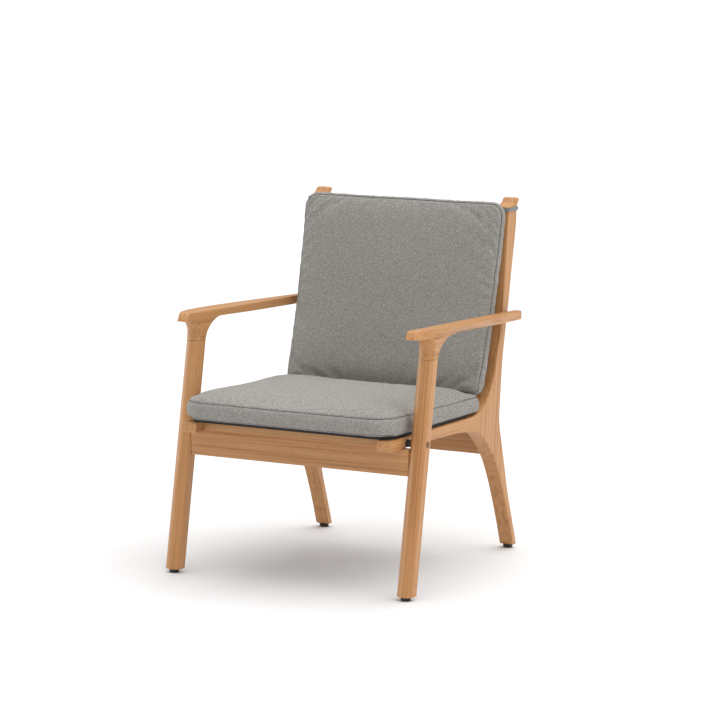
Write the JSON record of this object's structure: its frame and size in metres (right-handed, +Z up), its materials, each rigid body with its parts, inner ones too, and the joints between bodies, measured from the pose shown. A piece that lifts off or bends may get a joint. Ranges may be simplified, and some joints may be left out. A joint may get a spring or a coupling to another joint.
{
  "type": "wooden armchair",
  "caption": "Low wooden lounge armchair: slim raked legs that flow into paddle armrests, loose grey seat cushion, tied back cushion.",
  "frame": {"origin": "centre of the footprint on the floor, between the outer edges of the armrests and between the seat cushion's front edge and the posts' tips", "axes": "+Z up from the floor, the chair faces -Y, +X to the right of somebody looking at its front"},
  "size_m": [0.6822, 0.6745, 0.8584],
  "materials": {
    "oak": "oiled satin, straight grain",
    "oak_end": "oiled end grain",
    "deck_black": "matt black paint on plywood",
    "hardware_black": "matt",
    "steel": "zinc plated",
    "brass": "as turned",
    "grey_fabric": "flat woven upholstery cloth",
    "strap_grey": "narrow woven tape"
  },
  "bodies": {
    "chair": {"arm_bolt_left": "steel", "arm_bolt_right": "steel", "arm_insert_left": "brass", "arm_insert_right": "brass", "arm_spacer_left": "hardware_black", "arm_spacer_right": "hardware_black", "arm_tenon_left": "oak", "arm_tenon_right": "oak", "armrest_left": "oak", "armrest_right": "oak", "back_cushion": "grey_fabric", "back_leg_left": "oak", "back_leg_right": "oak", "back_slat_1": "oak", "back_slat_2": "oak", "back_slat_3": "oak", "back_slat_4": "oak", "back_slat_5": "oak", "deck_screw_1": "steel", "deck_screw_2": "steel", "deck_screw_3": "steel", "deck_screw_4": "steel", "deck_screw_5": "steel", "deck_screw_6": "steel", "front_apron": "oak", "front_cross_rail": "oak", "front_glide_left": "hardware_black", "front_glide_right": "hardware_black", "front_leg_left": "oak", "front_leg_right": "oak", "leg_bolt_left": "steel", "leg_bolt_right": "steel", "leg_insert_left": "brass", "leg_insert_right": "brass", "leg_plug_left": "oak_end", "leg_plug_right": "oak_end", "leg_spacer_left": "hardware_black", "leg_spacer_right": "hardware_black", "post_strap_left": "strap_grey", "post_strap_right": "strap_grey", "rail_dowel_lower_left": "oak", "rail_dowel_lower_right": "oak", "rail_dowel_upper_left": "oak", "rail_dowel_upper_right": "oak", "rear_apron": "oak", "rear_cross_rail": "oak", "rear_glide_left": "hardware_black", "rear_glide_right": "hardware_black", "seat_deck": "deck_black", "seat_rail_left": "oak", "seat_rail_right": "oak"},
    "loose_cushion": {"seat_cushion": "grey_fabric"}
  },
  "joints": [
    {"name": "seat_lift", "type": "slide", "parent": "chair", "child": "loose_cushion", "axis": [0, 0, 1], "range_m": [0, 0.15]}
  ]
}
